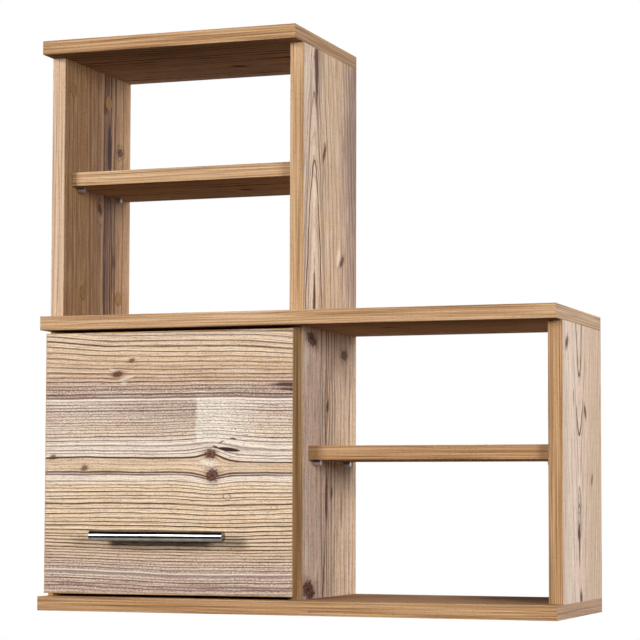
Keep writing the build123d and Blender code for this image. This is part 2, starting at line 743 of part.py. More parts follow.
def carcass():
    """Every board, cut for what is let into it, with its bands, and everything that is fitted."""
    level = {"bottom_panel": [], "middle_panel": [], "top_panel": []}
    cuts = {name: [] for name in (*level, *uprights, "flap")}
    join_uprights(cuts)
    hang_uprights(cuts)
    back_board(cuts)
    shelves(cuts)
    hinge_set(cuts)
    stay_set(cuts)
    handle_set(cuts)
    bump_stops()
    flap_board(cuts)
    for name, (x, z, _) in uprights.items():
        upright_board(name, x, z, cuts[name])
    level_board("bottom_panel", (left_out, right_out), (floor_under, floor_top), cuts["bottom_panel"])
    level_board("middle_panel", (left_out, right_out), (mid_under, mid_top), cuts["middle_panel"])
    level_board("top_panel", (left_out, mid_right), (roof_under, roof_top), cuts["top_panel"])


carcass()
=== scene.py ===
"""Wall cabinet: an open tower above a flap bay and an open bay, in rustic spruce decor."""

import math

import bpy
from mathutils import Matrix, Vector

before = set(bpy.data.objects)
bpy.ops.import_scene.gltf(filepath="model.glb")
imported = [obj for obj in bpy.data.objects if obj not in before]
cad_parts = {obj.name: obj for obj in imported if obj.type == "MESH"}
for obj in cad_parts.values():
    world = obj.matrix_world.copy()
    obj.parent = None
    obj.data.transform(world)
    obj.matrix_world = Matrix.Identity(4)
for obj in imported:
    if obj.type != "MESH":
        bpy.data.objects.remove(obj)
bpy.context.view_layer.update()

# Sizes in millimetres, in the frame of the cabinet

MM_PER_M = 1000.0
BOARD_DEPTH = 200.0
RAW_EDGE = 0.2
FLAP_MIDDLE = -193.5
FLAP_FOOT = -308.5
FLAP_HEIGHT = 297.0
HARDBOARD_FRONT = -17.6

# The grain of a board's second face (the right, upper or rear one) is drawn this far across from the first

OTHER_FACE = 4000.0

# Tones of the decor, as they look on a screen

CREAM = (238, 224, 206)
STRAW = (226, 198, 166)
TAN = (214, 181, 144)
ROSE = (208, 182, 164)
MAUVE = (170, 143, 132)
PLUM = (108, 78, 72)
RUSSET = (104, 62, 30)
SEPIA = (80, 48, 28)
UMBER = (72, 47, 32)
BARK = (54, 36, 30)
CHALK = (238, 222, 208)
KNOT_TONES = [
    (0.1, BARK),
    (0.3, (92, 57, 43)),
    (0.5, (136, 95, 78)),
    (0.68, (88, 55, 42)),
    (0.95, (50, 30, 24)),
]


def paint(tone):
    """A screen tone as the linear colour that a shader takes."""
    linear = []
    for level in tone:
        part = level / 255.0
        linear.append(part / 12.92 if part <= 0.04045 else ((part + 0.055) / 1.055) ** 2.4)
    return (*linear, 1.0)


class Field:
    """A value, vector or colour over a surface: a socket that works in plain expressions."""

    def __init__(self, tree, socket=None):
        self.tree = tree
        self.socket = socket

    def node(self, kind, settings, sockets, output=0):
        """Adds a node: first its settings, then the values or links of its sockets."""
        made = self.tree.nodes.new("ShaderNode" + kind)
        for name, value in settings.items():
            if name == "stops":
                ramp = made.color_ramp
                while len(ramp.elements) < len(value):
                    ramp.elements.new(1.0)
                for element, (position, tone) in zip(ramp.elements, value):
                    element.position = position
                    element.color = paint(tone)
            else:
                setattr(made, name, value)
        for name, value in sockets.items():
            if isinstance(value, Field):
                self.tree.links.new(value.socket, made.inputs[name])
            else:
                made.inputs[name].default_value = value
        return Field(self.tree, made.outputs[output])

    def math(self, operation, *values):
        return self.node("Math", {"operation": operation}, dict(enumerate(values)))

    def __add__(self, other):
        return self.math("ADD", self, other)

    def __sub__(self, other):
        return self.math("SUBTRACT", self, other)

    def __rsub__(self, other):
        return self.math("SUBTRACT", other, self)

    def __mul__(self, other):
        return self.math("MULTIPLY", self, other)

    def __truediv__(self, other):
        return self.math("DIVIDE", self, other)

    def __pow__(self, other):
        return self.math("POWER", self, other)

    __radd__ = __add__
    __rmul__ = __mul__

    def __abs__(self):
        return self.math("ABSOLUTE", self)

    def above(self, limit):
        return self.math("GREATER_THAN", self, limit)

    def higher(self, other):
        return self.math("MAXIMUM", self, other)

    def fract(self):
        return self.math("FRACT", self)

    def floor(self):
        return self.math("FLOOR", self)

    def root(self):
        return self.math("SQRT", self)

    def step(self, start, end):
        """A soft step from 0 at start to 1 at end."""
        return self.node(
            "MapRange",
            {"interpolation_type": "SMOOTHSTEP"},
            {"Value": self, "From Min": start, "From Max": end},
        )

    def coat(self, base, top):
        """A colour: base where this field is 0, top where it is 1."""
        colours = {}
        for slot, colour in ((6, base), (7, top)):
            colours[slot] = colour if isinstance(colour, Field) else paint(colour)
        return self.node("Mix", {"data_type": "RGBA"}, {0: self, **colours}, output=2)

    def ramp(self, stops, easing="LINEAR"):
        made = self.node("ValToRGB", {"stops": stops}, {"Fac": self})
        made.socket.node.color_ramp.interpolation = easing
        return made

    def cloud(self, x, y, detail=2.0):
        """Soft blotches of size one in x and y, from 0 to 1."""
        spot = self.node("CombineXYZ", {}, {"X": x, "Y": y})
        settings = {"noise_dimensions": "2D"}
        return self.node("TexNoise", settings, {"Vector": spot, "Scale": 1.0, "Detail": detail})

    def ripple(self, along, detail=1.0):
        """Soft changes of size one along a line, from 0 to 1."""
        settings = {"noise_dimensions": "1D"}
        return self.node("TexNoise", settings, {"W": along, "Scale": 1.0, "Detail": detail})

    def chance(self, number):
        """A chance value from 0 to 1 for each number."""
        return self.node("TexWhiteNoise", {"noise_dimensions": "1D"}, {"W": number})

    def split(self):
        kind, sockets = "SeparateXYZ", {"Vector": self}
        return [self.node(kind, {}, sockets, output) for output in ("X", "Y", "Z")]


def new_material(name):
    material = bpy.data.materials.new(name)
    material.use_nodes = True
    return material, Field(material.node_tree)


def place_mm(sheet):
    """The place on the cabinet, in millimetres."""
    place = sheet.node("TexCoord", {}, {}, output="Object")
    scaled = sheet.node("VectorMath", {"operation": "SCALE"}, {0: place, "Scale": MM_PER_M})
    return scaled.split()


def facing(sheet):
    return sheet.node("TexCoord", {}, {}, output="Normal").split()


def finish(material, colour, roughness, height=None, depth=0.0002, glow=None, **constants):
    """Fits the fields to the material's surface shader."""
    tree = material.node_tree
    shader = tree.nodes["Principled BSDF"]
    tree.links.new(colour.socket, shader.inputs["Base Color"])
    if glow is not None:
        tree.links.new(glow.socket, shader.inputs["Emission Color"])
    if isinstance(roughness, Field):
        tree.links.new(roughness.socket, shader.inputs["Roughness"])
    else:
        shader.inputs["Roughness"].default_value = roughness
    if height is not None:
        sockets = {"Height": height, "Distance": depth, "Strength": 1.0}
        bump = height.node("Bump", {}, sockets)
        tree.links.new(bump.socket, shader.inputs["Normal"])
    for name, value in constants.items():
        shader.inputs[name.replace("_", " ")].default_value = value
    return material


# Wood: rings, knots, streaks and fibres along a board

def oval(u, v, spot):
    """Distance from the middle of a leaning spot, 1 on its rim."""
    along, across, radius, stretch, lean = spot
    du = u - along
    dv = (v - across - du * lean) / radius
    du = du / (radius * stretch)
    return (du * du + dv * dv).root()


def lens(u, v, streak):
    """A long leaning lens with pointed ends: 1 in its middle, 0 outside it."""
    along, across, half_length, half_width, lean = streak
    du = u - along
    dv = abs(v - across - du * lean) / half_width
    du = du / half_length
    return (1.0 - du * du - dv).higher(0.0)


def vein(u, v, shape):
    """A thin line in a hairpin: legs open from its tip, down the board or, with a minus taper, up it."""
    tip, across, nose, taper, length, width = shape
    behind = tip - u if taper > 0.0 else u - tip
    reach = v - across
    bow = (reach * reach + nose * nose).root()
    slope = abs(reach) / bow + abs(taper)
    off = abs(bow - nose - behind * abs(taper)) / slope
    return off.step(width, 0.3 * width) * behind.step(length, 0.5 * length)


def bend_rings(u, v, rings, knot):
    """Leads the rings round a knot, as a stream runs round a stone."""
    along, across, radius, stretch = knot
    du = (u - along) / stretch
    dv = v - across
    away = du * du + dv * dv + 1.05 * radius * radius
    return rings - dv * (radius * radius) / away


def wood_rings(sheet, u, v, grain):
    """Distance across the growth rings in millimetres, and how fast it grows along the face."""
    seed = grain["seed"]
    slope = 1.0
    sway = sheet.cloud(u / 230.0 + seed, v / 80.0, 1.0) - 0.5
    quiver = sheet.cloud(u / 40.0, v / 12.0 + seed, 3.0) - 0.5
    if grain.get("arch"):
        middle, radius, taper = grain["arch"]
        reach = v - middle
        bow = (reach * reach + radius * radius).root()
        rings = bow + u * taper
        slope = abs(reach) / bow + abs(taper)
    else:
        rings = v
    rings = rings + sway * grain["sway"] + quiver * grain["quiver"]
    for knot in grain["bends"]:
        rings = bend_rings(u, v, rings, knot)
    return rings, slope


def ring_lines(sheet, u, rings, pitch, even, seed):
    """Late wood, sharp on one side of each ring and soft on the other, and after it pale early wood with a
    painted highlight beside the line.
    """
    drift = sheet.ripple(rings / (4.2 * pitch) + seed, 2.0)
    phase = rings / pitch + drift * 1.7
    turn = phase.fract()
    strength = sheet.chance(phase.floor() + seed) ** 1.6
    fading = sheet.cloud(u / 60.0 + seed, rings / (0.9 * pitch), 3.0).step(0.25, 0.65)
    share = (even + (1.0 - even) * strength) * (even + (1.0 - even) * fading)
    dark = turn.step(0.58, 0.86) * turn.step(1.0, 0.95) * share
    # Pale early wood after each line, with a painted highlight along the line's edge
    pale = (1.0 - turn) ** 3.0 * (0.3 + 0.7 * strength) * fading
    return dark, pale


def stained(sheet, u, v, fibre, colour, streaks):
    """Dark resin streaks, drawn out along the fibres."""
    wander = sheet.cloud(u / 26.0, v / 9.0, 2.0) * 5.0 - 2.5
    frayed = (fibre - 0.5) * 0.9
    stain = None
    for *shape, depth in streaks:
        drawn = (lens(u, v + wander, shape) + frayed).step(0.0, 0.75)
        mark = drawn * lens(u, v, shape).step(0.0, 0.2) * depth
        stain = mark if stain is None else stain.higher(mark)
    colour = stain.coat(colour, PLUM)
    return (stain.step(0.75, 1.0) * 0.6).coat(colour, BARK)


def marked(u, v, colour, marks, tone, soft):
    """Lenses of one tone: cracks with hard edges, pale wood or painted shade with soft ones."""
    for *shape, depth in marks:
        colour = (lens(u, v, shape).step(0.0, soft) * depth).coat(colour, tone)
    return colour


def looped(sheet, u, v, colour, loops):
    """Closed thin lines round pale wood, as where a branch was grown over."""
    torn = (sheet.cloud(u / 5.0, v / 5.0, 3.0) - 0.5) * 0.9
    for *spot, depth in loops:
        reach = oval(u, v, spot) + torn
        colour = (reach.step(1.0, 0.6) * (0.4 * depth)).coat(colour, CHALK)
        colour = (abs(reach - 1.0).step(0.24, 0.06) * depth).coat(colour, BARK)
    return colour


def knotted(sheet, u, v, colour, knots):
    """Knots with ringed hearts, torn rims and darker wood about them."""
    for *spot, depth in knots:
        size = spot[2]
        torn = (sheet.cloud(u / (0.5 * size), v / (0.3 * size), 4.0) - 0.5) * 1.2
        grit = sheet.cloud(u / (0.25 * size), v / (0.15 * size), 3.0) - 0.5
        reach = oval(u, v, spot) + torn
        halo = (reach + grit).step(2.3, 0.8) * (0.5 * depth)
        heart = (reach + grit * 0.5).step(1.25, 0.8) * depth
        growth = (reach + grit * 1.1).ramp(KNOT_TONES)
        colour = halo.coat(colour, RUSSET)
        colour = heart.coat(colour, growth)
    return colour


def two_sided(field, share, colour, deep, pale):
    """Lays one tone where a field is high and another where it is low."""
    colour = (field.step(0.5, 0.8) * share).coat(colour, deep)
    return (field.step(0.5, 0.2) * share).coat(colour, pale)


def dressed_wood(sheet, u, v, rings, slope, base, grain, rough, close=0.0, force=1.0):
    """Lays lines, streaks, knots and fibres over the base colour. Gives colour and relief."""
    seed = grain["seed"]
    lines = rings + close
    broad, bright = ring_lines(sheet, u, lines, grain["pitch"], grain["even"], seed)
    fine, fine_pale_and_highlight = ring_lines(sheet, u, lines, grain["pitch"] * 0.42, grain["even"], seed + 31.0)
    patch = sheet.cloud(u / 60.0 + seed, v / 8.0, 2.0)
    fibre = sheet.cloud(u / 40.0, lines / 1.3 + seed, 3.0)
    fleck = sheet.cloud(u / 9.0 + seed, v / 0.8, 2.0)
    comb = sheet.cloud(u / 2.0, v / 1.3 + seed, 2.0)
    colour = two_sided(patch, grain["blush"], base, grain["deep"], grain["pale"])
    colour = two_sided(fibre, grain["fibre"], colour, RUSSET, grain["pale"])
    colour = two_sided(comb, rough, colour, RUSSET, grain["pale"])
    colour = (fleck.step(0.58, 0.75) * grain["fleck"]).coat(colour, RUSSET)
    # Pale early wood between the lines, partly a painted highlight beside each line
    colour = (bright * grain["bright"] + fine_pale_and_highlight * 0.35).coat(colour, grain["gap"])
    crest = slope.step(0.1, 0.6) if isinstance(slope, Field) else 1.0
    broad = broad * crest
    fine = fine * crest
    colour = (fine * force * grain["fine"]).coat(colour, RUSSET)
    colour = (broad * force * grain["broad"]).coat(colour, grain["line"])
    for level, width, strength, tone in grain["seams"]:
        seam = abs(rings - level).step(width, 0.3 * width)
        colour = (seam * strength).coat(colour, tone)
    sway = (sheet.cloud(u / 50.0 + seed, v / 30.0, 2.0) - 0.5) * 6.0
    for *shape, strength in grain["veins"]:
        colour = (vein(u, v + sway, shape) * strength).coat(colour, SEPIA)
    colour = marked(u, v, colour, grain["lights"], CREAM, 0.8)
    if grain["streaks"]:
        colour = stained(sheet, u, v, fibre, colour, grain["streaks"])
    if grain["loops"]:
        colour = looped(sheet, u, v, colour, grain["loops"])
    if grain["knots"]:
        colour = knotted(sheet, u, v, colour, grain["knots"])
    colour = marked(u, v, colour, grain["cracks"], BARK, 0.25)
    # Painted shade: soft dark lenses where the board lies in shade
    colour = marked(u, v, colour, grain["shades"], BARK, 1.0)
    relief = 1.0 - broad * 0.8 - fine * 0.3 - fibre * 0.2
    return colour, relief


def chip_core(sheet, u, t):
    """Raw chipboard, as the unbanded back edges show it."""
    spot = sheet.node("CombineXYZ", {}, {"X": u / 3.4, "Y": t / 1.1})
    chips = sheet.node("TexVoronoi", {"voronoi_dimensions": "2D"}, {"Vector": spot, "Scale": 1.0}, "Color")
    grey = sheet.node("RGBToBW", {}, {"Color": chips})
    dust = sheet.cloud(u / 0.9, t / 0.6, 2.0)
    mixed = grey * 0.75 + dust * 0.25
    return mixed.ramp([(0.1, (128, 96, 66)), (0.45, (186, 150, 108)), (0.9, (218, 188, 146))])


def grain_of(**changes):
    """A board's grain: the common growth with its own changes.

    Seams hold their place across the rings, width, strength and tone.
    Veins hold tip, place across, nose, taper, length, width and strength.
    Bends hold place along and across, radius and stretch.
    Knots and loops hold place along and across, radius, stretch, lean and depth.
    Lights, streaks, cracks and lenses of painted shade hold place along and across, half length, half
    width, lean and depth.
    """
    grain = {
        "seed": 0.0,
        "line": SEPIA,
        "gap": CHALK,
        "pale": CHALK,
        "deep": MAUVE,
        "rough": 0.25,
        "pitch": 11.0,
        "even": 0.15,
        "sway": 10.0,
        "quiver": 2.0,
        "broad": 0.9,
        "bright": 0.4,
        "fine": 0.65,
        "fibre": 0.6,
        "fleck": 0.5,
        "blush": 0.35,
        "seams": [],
        "veins": [],
        "bends": [],
        "lights": [],
        "streaks": [],
        "loops": [],
        "knots": [],
        "cracks": [],
        "shades": [],
    }
    grain.update(changes)
    return grain


def board_material(name, axes, middle, grain, tones, back, gloss=0.1, near_tones=None):
    """Decor on a board's two faces, in zones from front to back, with raw chipboard on its back edge.
    Near_tones, where given, colour the face below middle: on the level boards' undersides they are painted
    shade.
    """
    material, sheet = new_material(name)
    place = dict(zip("xyz", place_mm(sheet)))
    along, across, through = axes
    u, t = place[along], place[through]
    v = place[across] + t.above(middle) * OTHER_FACE
    rings, slope = wood_rings(sheet, u, v, grain)
    wander = (sheet.cloud(u / 130.0, v / 30.0 + grain["seed"], 2.0) - 0.5) * 0.3
    zone = place["y"] / BOARD_DEPTH + 1.0 + wander
    base = zone.ramp(tones)
    if near_tones is not None:
        base = t.above(middle).coat(zone.ramp(near_tones), base)
    colour, relief = dressed_wood(sheet, u, v, rings, slope, base, grain, grain["rough"])
    raw = place["y"].above(back - RAW_EDGE)
    colour = raw.coat(colour, chip_core(sheet, u, t))
    return finish(material, colour, 0.56 + relief * 0.1, relief, 0.0002, Specular_IOR_Level=gloss)


TOWER_RIGHT_TONES = [
    (0.08, (196, 171, 150)),
    (0.2, (214, 192, 170)),
    (0.36, (207, 178, 146)),
    (0.45, (198, 168, 134)),
    (0.68, (198, 167, 134)),
    (0.8, (173, 143, 120)),
    (0.92, (153, 123, 107)),
]
LOWER_RIGHT_TONES = [
    (0.1, (211, 187, 169)),
    (0.25, (229, 207, 189)),
    (0.5, (219, 193, 172)),
    (0.7, (213, 184, 157)),
    (0.95, (209, 178, 149)),
]
DIVIDER_TONES = [
    (0.1, (240, 209, 187)),
    (0.3, (236, 204, 181)),
    (0.45, (236, 203, 171)),
    (0.75, (238, 204, 169)),
    (1.0, (230, 194, 159)),
]
TOWER_LEFT_TONES = [
    (0.1, (172, 129, 85)),
    (0.4, (174, 130, 86)),
    (0.62, (148, 107, 80)),
    (0.75, (146, 105, 80)),
    (0.85, (190, 148, 112)),
    (1.0, (200, 159, 122)),
]
LEVEL_TONES = [
    (0.1, (200, 156, 116)),
    (0.4, (208, 165, 124)),
    (0.65, (190, 147, 108)),
    (0.95, (202, 158, 118)),
]
# Painted shade on the undersides of the level boards: darkest at the front edge, lighter towards the back
UNDERSIDE_SHADE_TONES = [
    (0.05, (160, 126, 98)),
    (0.3, (194, 160, 130)),
    (0.65, (216, 186, 158)),
    (0.95, (232, 206, 180)),
]
# The bottom board's upper face, the floor of the bays, has its own tones, a little darker towards the back
BAY_FLOOR_TONES = [
    (0.1, (204, 164, 130)),
    (0.4, (196, 156, 124)),
    (0.65, (182, 146, 118)),
    (0.95, (178, 146, 122)),
]
# Painted shade: a dark lens in the back right corner of the bay floor, beside the lower right side
BAY_FLOOR_PAINTED_SHADE = [(330.0, OTHER_FACE, 250.0, 320.0, 0.0, 0.9)]


def other_side(knots):
    """The same knots on the board's other face, moved along so that the faces differ."""
    return [(-along, OTHER_FACE + across, *rest) for along, across, *rest in knots]


def around(knots):
    """The bends of the rings round each knot."""
    bends = []
    for knot in knots:
        along, across, radius, stretch = knot[:4]
        bends.append((along, across, radius * max(0.8, 0.5 * stretch), 1.6))
    return bends


def tower_right_wood():
    knots = [
        (195.0, OTHER_FACE - 113.0, 3.4, 2.4, 0.5, 1.0),
        (76.0, OTHER_FACE - 52.0, 4.6, 1.2, 0.8, 1.0),
        (120.0, -70.0, 4.8, 1.6, 0.2, 0.9),
    ]
    arch = (OTHER_FACE - 147.0, 25.0, 0.07)
    grain = grain_of(
        seed=3.1,
        arch=arch,
        veins=[
            (182.0, *arch, 400.0, 2.2, 0.95),
            (260.0, *arch, 330.0, 1.7, 0.6),
            (330.0, *arch, 400.0, 1.9, 0.5),
            (206.0, OTHER_FACE - 113.0, 3.0, 0.06, 90.0, 1.5, 0.7),
        ],
        bends=around(knots),
        knots=knots,
        lights=[
            (80.0, OTHER_FACE - 64.0, 16.0, 8.0, 0.3, 0.6),
            (150.0, OTHER_FACE - 147.0, 40.0, 9.0, 0.0, 0.35),
        ],
        streaks=[
            (300.0, OTHER_FACE - 139.0, 76.0, 13.0, 0.0, 1.0),
            (300.0, OTHER_FACE - 132.0, 100.0, 24.0, 0.0, 0.4),
            (20.0, OTHER_FACE - 146.0, 66.0, 6.0, 0.0, 1.0),
            (240.0, OTHER_FACE - 8.0, 170.0, 46.0, 0.0, 0.35),
        ],
        broad=0.8,
    )
    return board_material("tower_right_wood", "zyx", 0.0, grain, TOWER_RIGHT_TONES, 0.0)


def lower_right_wood():
    knots = [
        (-31.0, OTHER_FACE - 163.0, 5.0, 1.2, 0.5, 0.9),
        (-103.0, OTHER_FACE - 79.0, 4.0, 1.6, -0.4, 0.9),
        (-178.0, OTHER_FACE - 47.0, 3.0, 1.6, 0.4, 0.8),
        (-200.0, -80.0, 4.6, 1.7, 0.2, 0.9),
    ]
    grain = grain_of(
        seed=8.7,
        arch=(OTHER_FACE - 107.0, 16.0, -0.085),
        veins=[
            (-64.0, OTHER_FACE - 107.0, 27.0, -0.06, 200.0, 2.2, 0.95),
            (-129.0, OTHER_FACE - 107.0, 11.0, -0.26, 40.0, 2.3, 0.95),
        ],
        bends=around(knots),
        knots=knots,
        loops=[
            (-203.0, OTHER_FACE - 107.0, 6.5, 2.0, 0.0, 0.65),
            (-219.0, OTHER_FACE - 108.0, 5.5, 2.2, 0.0, 0.6),
        ],
        streaks=[
            (-238.0, OTHER_FACE - 109.0, 15.0, 11.0, 0.0, 1.0),
            (-250.0, OTHER_FACE - 108.0, 30.0, 6.0, 0.0, 0.9),
            (-220.0, OTHER_FACE - 107.0, 44.0, 14.0, 0.0, 0.5),
            (-308.0, OTHER_FACE - 101.0, 14.0, 8.0, 0.0, 1.0),
            (-90.0, OTHER_FACE - 132.0, 14.0, 5.0, 0.0, 0.6),
        ],
        broad=0.45,
        blush=0.25,
    )
    return board_material("lower_right_wood", "zyx", 296.0, grain, LOWER_RIGHT_TONES, 0.0)


def divider_wood():
    knots = [
        (-21.0, OTHER_FACE - 154.0, 14.0, 0.5, -0.5, 1.0),
        (-33.0, OTHER_FACE - 43.0, 10.0, 0.55, 0.3, 0.9),
        (-95.0, OTHER_FACE - 101.0, 3.6, 1.8, 0.2, 1.0),
        (-302.0, OTHER_FACE - 162.0, 16.0, 0.6, -0.4, 1.0),
        (-194.0, OTHER_FACE - 86.0, 3.0, 1.8, 0.2, 0.9),
        (-120.0, -70.0, 4.8, 1.6, -0.2, 0.9),
    ]
    grain = grain_of(
        seed=5.3,
        pitch=14.0,
        even=0.12,
        bright=0.7,
        blush=0.6,
        bends=around(knots) + [(-95.0, OTHER_FACE - 101.0, 8.0, 4.0)],
        knots=knots,
        lights=[
            (-40.0, OTHER_FACE - 172.0, 26.0, 10.0, 0.1, 0.55),
            (-284.0, OTHER_FACE - 140.0, 30.0, 8.0, 0.5, 0.55),
            (-262.0, OTHER_FACE - 168.0, 26.0, 10.0, 0.0, 0.4),
            (-100.0, OTHER_FACE - 122.0, 50.0, 5.0, 0.0, 0.5),
        ],
        seams=[
            (OTHER_FACE - 121.0, 1.7, 0.75, SEPIA),
            (OTHER_FACE - 104.0, 1.6, 0.7, SEPIA),
            (OTHER_FACE - 98.0, 1.6, 0.7, SEPIA),
            (OTHER_FACE - 88.0, 1.7, 0.65, SEPIA),
            (OTHER_FACE - 46.0, 1.4, 0.5, SEPIA),
        ],
        streaks=[
            (-200.0, OTHER_FACE - 104.0, 46.0, 7.0, 0.0, 1.0),
            (-280.0, OTHER_FACE - 112.0, 60.0, 5.0, 0.1, 0.9),
            (-100.0, OTHER_FACE - 118.0, 70.0, 3.0, 0.0, 0.7),
            (-210.0, OTHER_FACE - 52.0, 30.0, 6.0, 0.0, 0.6),
        ],
        fleck=0.75,
        fibre=0.8,
        rough=0.5,
        fine=0.65,
    )
    return board_material("divider_wood", "zyx", 0.0, grain, DIVIDER_TONES, 0.0)


def tower_left_wood():
    knots = [
        (222.0, OTHER_FACE - 30.0, 7.0, 0.7, 0.3, 1.0),
        (146.0, OTHER_FACE - 86.0, 5.0, 1.2, -0.3, 1.0),
        (86.0, OTHER_FACE - 48.0, 4.0, 1.6, 0.0, 1.0),
        (268.0, OTHER_FACE - 72.0, 3.0, 1.2, 0.0, 0.9),
        (190.0, -120.0, 4.4, 1.8, 0.2, 0.8),
    ]
    grain = grain_of(
        seed=11.9,
        pitch=12.0,
        even=0.3,
        gap=TAN,
        pale=TAN,
        deep=SEPIA,
        rough=0.45,
        fibre=0.7,
        broad=0.6,
        bends=around(knots),
        knots=knots,
        loops=[
            (222.0, OTHER_FACE - 30.0, 12.0, 0.8, 0.3, 0.3),
            (142.0, OTHER_FACE - 84.0, 9.0, 1.8, 0.0, 0.25),
        ],
        seams=[
            (OTHER_FACE - 80.0, 2.2, 0.6, TAN),
            (OTHER_FACE - 74.0, 2.4, 0.8, BARK),
            (OTHER_FACE - 58.0, 2.4, 0.85, BARK),
            (OTHER_FACE - 51.0, 2.2, 0.6, TAN),
            (OTHER_FACE - 45.0, 2.0, 0.7, BARK),
            (OTHER_FACE - 22.0, 2.0, 0.6, SEPIA),
            (OTHER_FACE - 110.0, 2.0, 0.3, SEPIA),
        ],
        cracks=[
            (222.0, OTHER_FACE - 61.0, 34.0, 5.0, 0.0, 0.8),
            (214.0, OTHER_FACE - 56.0, 30.0, 3.0, 0.05, 0.7),
        ],
        streaks=[
            (150.0, OTHER_FACE - 66.0, 260.0, 10.0, 0.0, 0.55),
            (226.0, OTHER_FACE - 61.0, 40.0, 8.0, 0.0, 1.0),
            (90.0, OTHER_FACE - 52.0, 110.0, 4.0, 0.0, 1.0),
            (70.0, OTHER_FACE - 71.0, 120.0, 3.5, 0.0, 1.0),
        ],
    )
    inner, outer = TOWER_LEFT_TONES, TOWER_RIGHT_TONES
    return board_material("tower_left_wood", "zyx", -296.0, grain, inner, 0.0, near_tones=outer)


def lower_left_wood():
    knots = [(-120.0, -90.0, 4.8, 1.7, 0.2, 0.9), (-230.0, -40.0, 3.4, 1.9, -0.2, 0.8)]
    knots = knots + other_side([(90.0, -120.0, 4.4, 1.7, 0.2, 0.8)])
    streaks = [(-60.0, -130.0, 90.0, 6.0, 0.0, 0.9)]
    grain = grain_of(seed=14.2, bends=around(knots), knots=knots, streaks=streaks)
    return board_material("lower_left_wood", "zyx", -296.0, grain, TOWER_RIGHT_TONES, 0.0)


def level_wood(name, middle, seed, back, tones=LEVEL_TONES, shades=()):
    """Decor of the level boards, whose grain runs across the cabinet, with painted shade on their
    undersides and in any lenses of painted shade.
    """
    shift = 37.0 * seed
    knots = [
        (shift % 260.0 - 200.0, -70.0, 4.4, 1.7, 0.2, 0.8),
        (shift % 110.0 + 20.0, -130.0, 3.6, 1.9, -0.2, 0.8),
    ]
    knots = knots + other_side(knots)
    grain = grain_of(
        seed=seed,
        gap=TAN,
        pale=TAN,
        blush=0.15,
        bends=around(knots),
        knots=knots,
        streaks=[(60.0 - shift % 200.0, -105.0, 90.0, 6.0, 0.0, 0.8)],
        shades=shades,
    )
    return board_material(name, "xyz", middle, grain, tones, back, 0.0, UNDERSIDE_SHADE_TONES)


FLAP_TONES = [
    (0.0, ROSE),
    (0.03, MAUVE),
    (0.07, ROSE),
    (0.085, CHALK),
    (0.095, MAUVE),
    (0.12, ROSE),
    (0.18, (222, 190, 156)),
    (0.26, (236, 205, 168)),
    (0.42, (246, 218, 182)),
    (0.45, CHALK),
    (0.464, CHALK),
    (0.466, TAN),
    (0.518, TAN),
    (0.525, CHALK),
    (0.58, CHALK),
    (0.62, (238, 215, 190)),
    (0.7, (222, 199, 183)),
    (0.745, CHALK),
    (0.75, MAUVE),
    (0.785, MAUVE),
    (0.81, (200, 164, 136)),
    (0.9, (220, 187, 150)),
    (0.97, STRAW),
    (1.0, ROSE),
]

FLAP_KNOTS = [
    (-95.0, -150.5, 4.8, 1.3, 0.0, 1.0),
    (-92.5, -174.5, 6.6, 1.05, 0.0, 1.0),
    (-209.5, -59.5, 3.0, 1.9, 0.15, 1.0),
    (-192.0, -44.0, 1.8, 1.8, 0.2, 0.8),
    (-290.0, -153.0, 2.2, 1.5, 0.2, 0.7),
    (-250.0, -166.0, 2.8, 1.3, 0.2, 0.7),
]

FLAP_LOOPS = [
    (-261.0, -243.0, 4.0, 1.3, 0.0, 0.2),
    (-138.0, -213.0, 3.0, 1.4, 0.0, 0.25),
    (-75.0, -198.0, 3.4, 1.4, 0.0, 0.5),
    (-18.0, -210.0, 2.6, 1.4, 0.0, 0.3),
]

FLAP_LIGHTS = [
    (-198.0, -64.0, 14.0, 2.6, 0.22, 0.55),
    (-201.0, -70.0, 6.0, 3.0, 0.0, 0.4),
    (-216.0, -54.5, 7.0, 2.4, -0.4, 0.4),
    (-102.0, -158.0, 9.0, 4.0, 0.2, 0.6),
]

FLAP_CRACKS = [
    (-73.0, -145.6, 16.0, 2.6, -0.12, 1.0),
    (-67.5, -133.5, 5.0, 1.1, -0.1, 0.9),
    (-82.0, -137.5, 4.0, 1.0, 0.5, 0.8),
    (-88.0, -143.0, 5.0, 1.2, -0.3, 0.9),
]

FLAP_STREAKS = [
    (14.0, -74.0, 52.0, 5.0, 0.0, 1.0),
    (10.0, -79.0, 36.0, 4.0, 0.0, 1.0),
    (-60.0, -299.0, 160.0, 4.0, 0.0, 0.5),
    (-230.0, -296.0, 90.0, 4.0, 0.0, 0.4),
]

FLAP_SEAMS = [
    (-154.0, 1.5, 0.95, UMBER),
    (-170.0, 1.4, 0.95, UMBER),
    (-86.0, 1.5, 0.8, PLUM),
    (-88.6, 1.4, 0.8, CHALK),
    (-281.0, 1.3, 0.7, CHALK),
    (-283.5, 1.5, 0.7, PLUM),
]

# Soft steps on the flap, each from where it starts to where it is full

